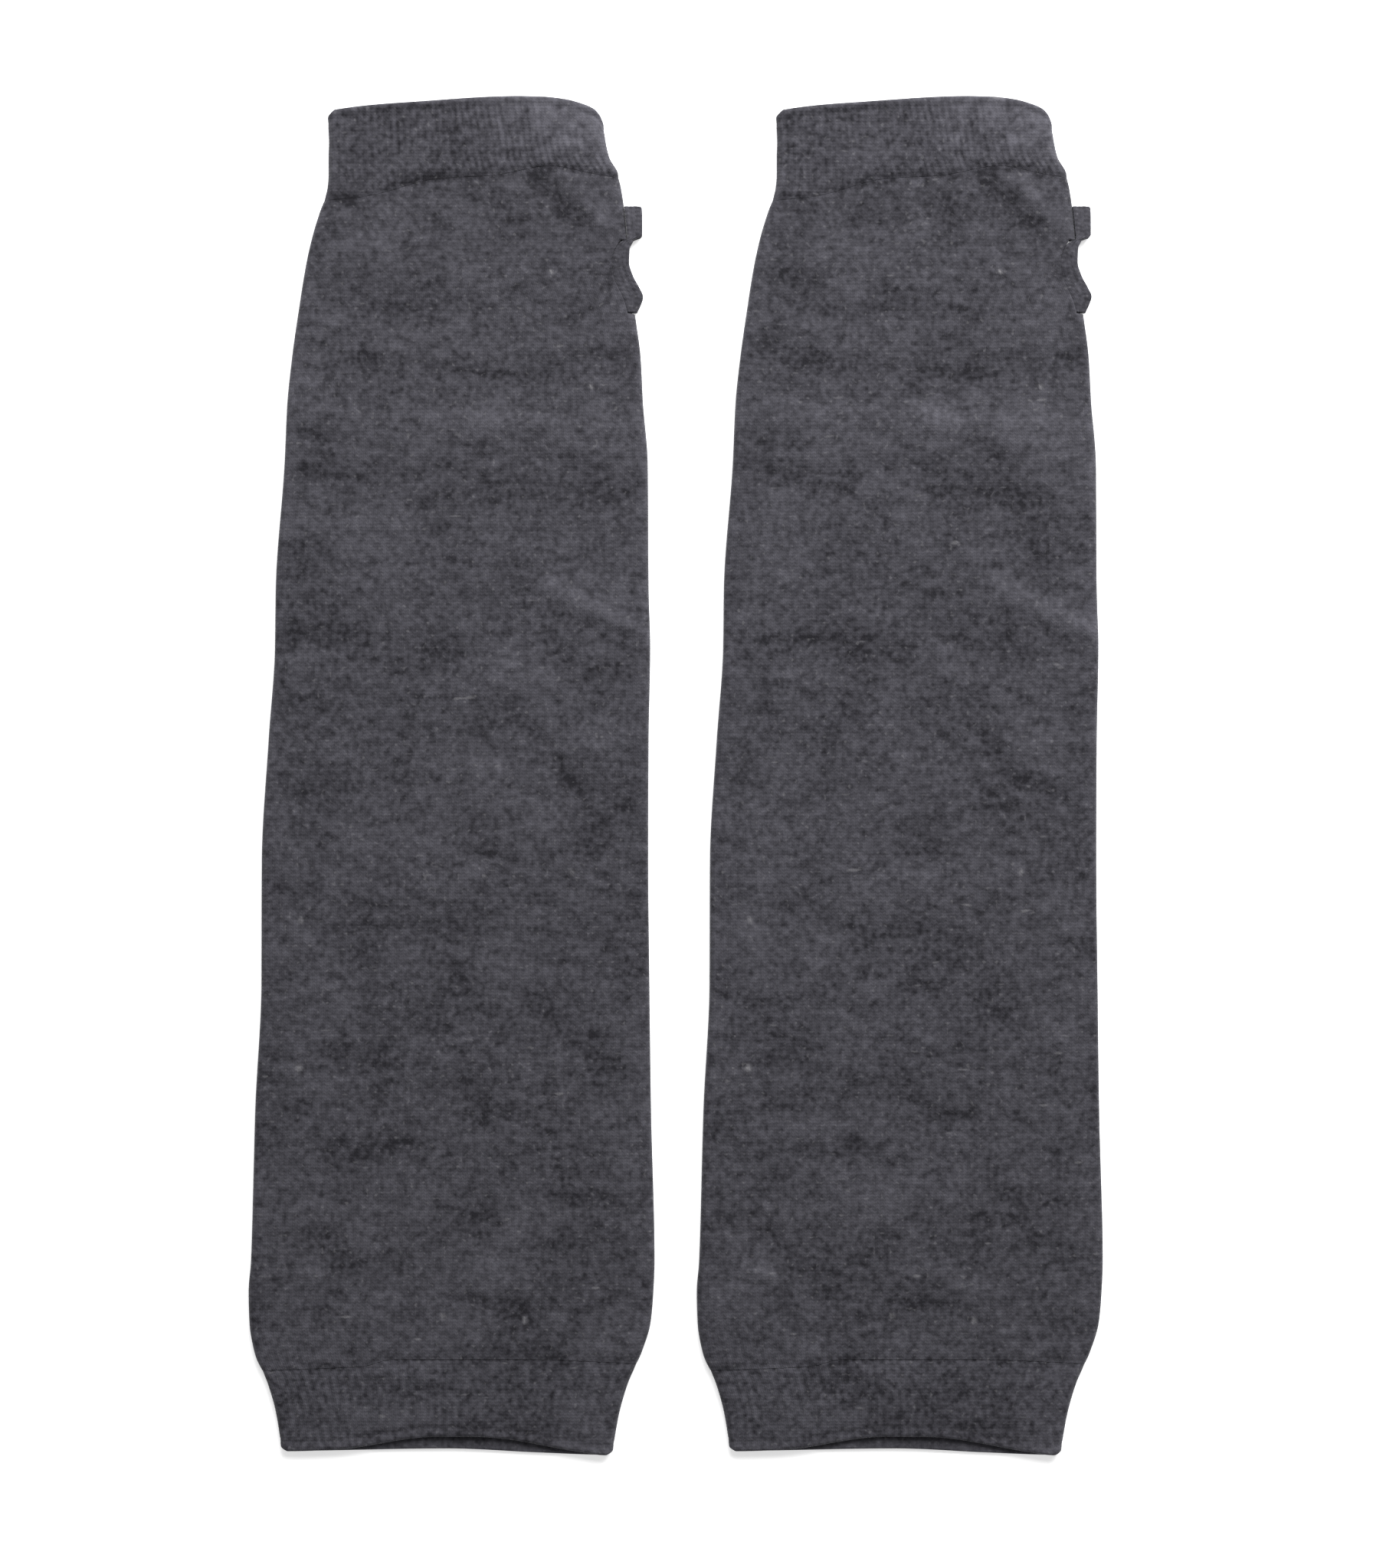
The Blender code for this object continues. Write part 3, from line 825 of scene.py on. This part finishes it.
sleeveKnit = {
    "frontColumns": 152,
    "foldColumns": 10,
    "backColumns": 54,
    "rows": 352,
    "innerStep": 8,
    "seamBulge": 0.05,
    "openingStart": 36.05,  # the side fold is open from here ...
    "openingEnd": 54.4,  # ... to here, for the thumb
    "drawnInFrom": 35.2,  # the cloth follows the thumb edging's inner side between these
    "drawnInTo": 55.6,
    "armDip": 0.55,  # how strongly the arm seam draws the cloth in, and how far that varies
    "armDipSpread": 0.25,
    "openingGap": 0.01,  # between the cloth and the thumb edging
}

# The thumb edging's inner and outer sides
edgingSides = table(
    "along inner outer",
    (27.5, 43.10, 47.0),
    (28.1, 43.17, 47.6),
    (30.5, 43.44, 47.7),
    (34.7, 43.85, 47.7),
    (35.4, 43.90, 47.2),
    (36.0, 43.92, 45.5),
    (36.4, 42.5, 45.3),
    (38.2, 41.0, 44.5),
    (41.5, 40.1, 44.4),
    (45.0, 40.5, 45.4),
    (48.0, 41.7, 47.0),
    (50.2, 42.8, 47.9),
    (52.4, 43.6, 47.2),
    (54.4, 44.1, 46.4),
    (55.6, 46.0, 46.6),
)


def edgingAcross(side, along):
    # Where the thumb edging's inner or outer side lies
    return fairCurve(edgingSides["along"], edgingSides[side], along)


def openingRightEnd(along):
    # The flat's right end, drawn in to the edging's inner side beside the thumb opening
    drawnIn = edgingAcross("inner", along) - sleeveKnit["openingGap"]
    beside = (along > sleeveKnit["drawnInFrom"]) & (along < sleeveKnit["drawnInTo"])
    return np.where(beside, np.minimum(drawnIn, plainRightEnd(along)), plainRightEnd(along))


def sleeveRows(start, end):
    # Row positions from 0 to 1, even but for two that fall on the ends of the thumb opening
    stops = (np.array([sleeveKnit["openingStart"], sleeveKnit["openingEnd"]]) - start) / (end - start)
    even = edgedRows(sleeveKnit["rows"], end - start)
    nearest = np.searchsorted(even, stops)
    even[nearest] = stops
    return even, nearest


def sleevePiece(name, place):
    # The sleeve as a closed shell between its two seams, open at the right fold for the thumb
    ring = ringAround(sleeveKnit["frontColumns"], sleeveKnit["foldColumns"], sleeveKnit["backColumns"])
    width = widthShare(ring)
    start = lineAlong(handSeam, width) + 0.5 * cuffRib["seamCrack"]
    end = lineAlong(armSeam, width) - 0.5 * cuffRib["seamCrack"]
    bulge = sleeveKnit["seamBulge"]
    fold = ring["rightFold"]
    rows, opening = sleeveRows(start[fold[0]] + bulge, end[fold[0]] - bulge)

    def reliefAt(along):
        uneven = softNoise(ring["wale"][:-1] / 14.0 + 0.0 * along, along / 40.0, 33)
        armStrength = np.clip(sleeveKnit["armDip"] + sleeveKnit["armDipSpread"] * uneven, 0.15, 1.0)
        return seamDip(along - start, 1.0) + seamDip(end - along, armStrength)

    innerEvery = np.zeros(len(rows), bool)
    innerEvery[:: sleeveKnit["innerStep"]] = True
    innerEvery[-1] = True
    innerEvery[opening[0] : opening[1] + 1] = True
    along, depth, innerLoop = shellLoops(ring, start, end, rows, reliefAt, bulge, bulge, innerEvery)
    across, along, height = tubePoints(ring, along, depth, openingRightEnd)

    quadLoops, quadColumns = gridQuads(*along.shape)
    inFold = (quadColumns[:, 0] >= fold[0]) & (quadColumns[:, 0] < fold[1])
    outer = (quadLoops[:, 0] >= opening[0]) & (quadLoops[:, 0] < opening[1])
    innerTop = innerLoop[opening[0]]
    innerBottom = innerLoop[opening[1]]
    inner = (quadLoops[:, 0] >= innerBottom) & (quadLoops[:, 0] < innerTop)
    kept = ~(inFold & (outer | inner))
    rimLoops, rimColumns = openingRim(opening, fold, innerLoop)
    quadLoops = np.concatenate([quadLoops[kept], rimLoops])
    quadColumns = np.concatenate([quadColumns[kept], rimColumns])
    quads, corners = quadsAndCorners(quadLoops, quadColumns, ring, along)
    far = farAway + 0.0 * along
    toSeam = np.minimum(along - start, end - along)
    seamStrength = np.where(along - start < end - along, seamShade["hand"], seamShade["arm"])
    marks = surfaceMarks(across, along, ring["front"], far, toSeam, seamStrength)
    points = toFrame(across, along, height, place)
    return newPiece(name, points, quads, corners, marks, knitMaterials["sleeve_knit"])


def openingRim(opening, fold, innerLoop):
    # Quads that join the outer face to the inner one round the thumb opening: down its front side,
    # up its back side, and across the fold at both ends
    row = np.arange(opening[0], opening[1])
    column = np.arange(fold[0], fold[1])
    ones = np.ones(len(row), int)
    across = np.ones(len(column), int)
    outerTop = opening[0] * across
    outerBottom = opening[1] * across
    innerTop = innerLoop[opening[0]] * across
    innerBottom = innerLoop[opening[1]] * across
    loops = [
        np.stack([row, row + 1, innerLoop[row + 1], innerLoop[row]], axis=-1),
        np.stack([row + 1, row, innerLoop[row], innerLoop[row + 1]], axis=-1),
        np.stack([outerTop, outerTop, innerTop, innerTop], axis=-1),
        np.stack([outerBottom, outerBottom, innerBottom, innerBottom], axis=-1),
    ]
    columns = [
        np.repeat(fold[0] * ones[:, None], 4, axis=1),
        np.repeat(fold[1] * ones[:, None], 4, axis=1),
        np.stack([column + 1, column, column, column + 1], axis=-1),
        np.stack([column, column + 1, column + 1, column], axis=-1),
    ]
    return np.concatenate(loops), np.concatenate(columns)


thumbEdging = {
    "halfWall": 0.6,
    "innerSide": 0.2,  # how round the side sewn to the sleeve is, as a share of the outer side's
    "turnRadius": 1.0,
    "turnReach": 0.2,  # how far the turns at the two tips reach, and how thin the cloth is there
    "turnThinning": 0.25,
    "handTip": 27.5,
    "armTip": 54.3,
    "stripRows": 84,
    "turnRows": 14,
    "faceColumns": 30,
    "edgeColumns": 10,
    "ridges": 3,
    "ridgeDepth": 0.10,
    "beadPitch": 1.15,
    "beadDepth": 0.08,
    "liftShare": 0.6,  # how far the edging follows the front layer's creases
}
# Dark marks on the edging: a dotted row inside the scoop's rim, painted shadow on the line beside the
# tab and painted shade on the rim of the bump below the scoop; and the tab made paler
edgingShade = {
    "row": 0.8,
    "rowInset": 1.6,
    "scoopStart": 36.0,
    "tabLine": 0.5,
    "tabEnd": 35.5,
    "bump": 1.2,
    "bumpAt": (47.8, 50.2),
    "tabPaleness": 0.6,
    "tabAt": 30.0,
}


def edgingPath():
    # A flattened loop seen from the side: over the front, round the hand tip, back along the
    # ground and round the arm tip. Gives along, height and the outward direction in each
    radius = thumbEdging["turnRadius"]
    turnReach = thumbEdging["turnReach"]
    reach = turnReach + thumbEdging["halfWall"] * thumbEdging["turnThinning"]
    first = thumbEdging["armTip"] - reach
    last = thumbEdging["handTip"] + reach
    straight = np.linspace(first, last, thumbEdging["stripRows"])[:-1]
    angle = np.linspace(0.0, np.pi, thumbEdging["turnRows"])[:-1]
    flat = np.zeros(len(straight))
    back = np.linspace(last, first, thumbEdging["stripRows"])[:-1]
    along = [straight, last - turnReach * np.sin(angle), back, first + turnReach * np.sin(angle)]
    level = [flat + radius, radius * np.cos(angle), flat - radius, -radius * np.cos(angle)]
    outAlong = [flat, -np.sin(angle), flat, np.sin(angle)]
    outUp = [flat + 1.0, np.cos(angle), flat - 1.0, -np.cos(angle)]
    return [np.concatenate(part) for part in (along, level, outAlong, outUp)]


def edgingMarks(across, along, front, bead):
    # The cloth's usual marks, with the edging's own dark marks, painted shade and paler tab as bell curves
    # of the distance to each
    far = farAway + 0.0 * across
    marks = surfaceMarks(across, along, front, far, far, 0.0)
    toRim = edgingAcross("outer", along) - across
    dots = 0.5 + 0.5 * np.cos(2 * np.pi * bead)
    row = hump(toRim - edgingShade["rowInset"], 0.4) * dots * (along > edgingShade["scoopStart"])
    # Painted shadow on the line beside the tab
    tabLine = hump(across - edgingAcross("inner", along) - 0.2, 0.35)
    tabLine = tabLine * (along < edgingShade["tabEnd"])
    # Painted shade on the rim of the bump below the scoop
    bumpAcross, bumpAlong = edgingShade["bumpAt"]
    bump = hump(np.hypot(across - bumpAcross, (along - bumpAlong) / 1.6), 0.9)
    shade = edgingShade["row"] * row + edgingShade["tabLine"] * tabLine + edgingShade["bump"] * bump
    # The tab made paler
    tab = edgingShade["tabPaleness"] * hump(along - edgingShade["tabAt"], 4.0)
    marks["seam"] = shade.ravel()
    marks["wearAndPaintedLight"] = marks["wearAndPaintedLight"] + (tab + 0.0 * across).ravel()
    return marks


def edgingPiece(name, place):
    # The edging as a band swept round its loop: a stadium section, with ridges parallel to the
    # edge on the outward face, beaded along the path
    along, level, outAlong, outUp = edgingPath()
    steps = np.hypot(np.diff(along, append=along[:1]), np.diff(level, append=level[:1]))
    run = np.concatenate([[0.0], np.cumsum(steps)])[:, None]
    beads = np.round(run[-1] / thumbEdging["beadPitch"])
    bead = run / run[-1] * beads
    faceColumns = thumbEdging["faceColumns"]
    ring = ringAround(faceColumns, thumbEdging["edgeColumns"], faceColumns // 2)
    half = thumbEdging["halfWall"]
    ridge = ring["share"] * thumbEdging["ridges"]
    ridgeWave = (1.0 + np.cos(2 * np.pi * ridge)) / 2.0
    beadWave = (1.0 - np.cos(2 * np.pi * (bead[:-1] + 0.5 * np.floor(ridge)))) / 2.0
    face = np.clip(ring["rise"], 0.0, 1.0) ** 2
    depth = face * (thumbEdging["ridgeDepth"] * ridgeWave + thumbEdging["beadDepth"] * beadWave)
    thick = (half - depth) * ring["rise"]
    alongHere = along[:, None] + outAlong[:, None] * thick * thumbEdging["turnThinning"]
    roundness = np.where(ring["reach"] < 0.0, thumbEdging["innerSide"], 1.0)
    inner = edgingAcross("inner", alongHere) + half * thumbEdging["innerSide"]
    outer = edgingAcross("outer", alongHere) - half
    middle = (inner + outer) / 2.0
    inner = np.minimum(inner, middle)
    outer = np.maximum(outer, middle)
    across = inner * (1.0 - ring["share"]) + outer * ring["share"]
    across = across + (half - depth) * ring["reach"] * roundness
    height = flatCloth["foldRadius"] + level[:, None] + outUp[:, None] * thick
    front = np.clip(outUp, 0.0, 1.0)[:, None]
    height = height + frontLift(across, alongHere) * front * thumbEdging["liftShare"]

    loops, columns = alongHere.shape
    quadLoops, quadColumns = gridQuads(loops, columns)
    quadLoops = quadLoops[:, ::-1]
    quadColumns = quadColumns[:, ::-1]
    quads = (quadLoops % loops) * columns + quadColumns % columns
    waleAt = ring["wale"] * 2.0 * thumbEdging["ridges"] / flatCloth["frontWales"]
    corners = np.stack([waleAt[quadColumns], bead[quadLoops, 0]], axis=-1)
    marks = edgingMarks(across, alongHere, front, bead[:-1])
    points = toFrame(across, alongHere, height, place)
    return newPiece(name, points, quads, corners, marks, knitMaterials["edging_knit"])


seamShade = {"hand": 1.0, "arm": 0.6}  # how strongly each seam is drawn in and given painted shade beside it


def handHemLine(share, front):
    # The hand hem is the same on both layers
    return lineAlong(handHem, share)


def armHemLine(share, front):
    # The front layer's hem is drawn back from the back layer's
    return lineAlong(armHemBack, share) * (1.0 - front) + lineAlong(armHemFront, share) * front


def buildWarmer(side):
    # One warmer on its own packed sleeve, its four pieces attached to the root body in place of the
    # frame's own parts, which are hidden
    low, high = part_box(side + "_sleeve")
    place = {
        "centre": (low.x + high.x) / 2.0,
        "top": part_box(side + "_hand_cuff")[1].y,
        "ground": low.z,
    }
    share = widthShare(cuffRing())
    handLine = lineAlong(handSeam, share)
    armLine = lineAlong(armSeam, share)
    handCuff = cuffPiece(side + "_hand_cuff_rib", place, True, handHemLine, handLine, seamShade["hand"])
    sleeve = sleevePiece(side + "_sleeve_knit", place)
    armCuff = cuffPiece(side + "_arm_cuff_rib", place, False, armHemLine, armLine, seamShade["arm"])
    edging = edgingPiece(side + "_thumb_edging_knit", place)
    finishes = (
        (handCuff, "_hand_cuff", "cuff_rib"),
        (sleeve, "_sleeve", "sleeve_knit"),
        (armCuff, "_arm_cuff", "cuff_rib"),
        (edging, "_thumb_edging", "edging_knit"),
    )
    for piece, node, slot in finishes:
        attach(piece, "root")
        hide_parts(side + node)
    print(side, "warmer built at", round(place["centre"] / mm, 2), "mm")


def softLight(name, position, size, power):
    # A square white soft light turned towards the frame's origin
    lamp = bpy.data.lights.new(name, "AREA")
    lamp.size = size
    lamp.energy = power
    holder = bpy.data.objects.new(name, lamp)
    bpy.context.scene.collection.objects.link(holder)
    holder.location = position
    direction = -np.array(position)
    flat = np.hypot(direction[0], direction[1])
    turn = np.arctan2(direction[0], -direction[1]) + np.pi
    holder.rotation_euler = (np.arctan2(flat, -direction[2]), 0.0, turn)
    holder.visible_camera = False


studio = {
    "lens": 85.0,
    "sensor": 36.0,
    "cameraOffset": (0.0027, -0.0020),
    "cameraHeight": 0.9263,
    "clothLevel": 0.0016,
    "floorSize": 8.0,
    "floorColour": (0.94, 0.94, 0.94, 1.0),
    "floorRoughness": 0.9,
    "floorGlow": 0.5,  # so that the cloth's own shadow stays faint on it
    "floorDrop": 0.0002,
    "worldLight": 0.28,
    "keyPlace": (0.28, 0.92, 0.76),
    "keySize": 1.1,
    "keyPower": 33.0,
}


def buildStudio():
    # Even room light, one soft key light, the pale floor and the camera straight above the pair
    world = bpy.data.worlds.new("softRoom")
    world.use_nodes = True
    background = world.node_tree.nodes["Background"]
    background.inputs["Color"].default_value = (1.0, 1.0, 1.0, 1.0)
    background.inputs["Strength"].default_value = studio["worldLight"]
    bpy.context.scene.world = world
    bpy.context.scene.view_settings.view_transform = "Standard"
    softLight("key", studio["keyPlace"], studio["keySize"], studio["keyPower"])

    bpy.ops.mesh.primitive_plane_add(size=studio["floorSize"], location=(0.0, 0.0, -studio["floorDrop"]))
    floor = bpy.context.object
    floor.name = "floor"
    paint = bpy.data.materials.new("paleFloor")
    paint.use_nodes = True
    shader = paint.node_tree.nodes["Principled BSDF"]
    shader.inputs["Base Color"].default_value = studio["floorColour"]
    shader.inputs["Roughness"].default_value = studio["floorRoughness"]
    shader.inputs["Emission Color"].default_value = (1.0, 1.0, 1.0, 1.0)
    shader.inputs["Emission Strength"].default_value = studio["floorGlow"]
    floor.data.materials.append(paint)

    lens = bpy.data.cameras.new("camera")
    lens.lens = studio["lens"]
    lens.sensor_width = studio["sensor"]
    camera = bpy.data.objects.new("camera", lens)
    bpy.context.scene.collection.objects.link(camera)
    middle = (cadLow + cadHigh) / 2.0
    x, y = studio["cameraOffset"]
    camera.location = (middle.x + x, middle.y + y, studio["clothLevel"] + studio["cameraHeight"])
    bpy.context.scene.camera = camera
    print("studio ready")


buildStudio()
for side in ("left", "right"):
    buildWarmer(side)
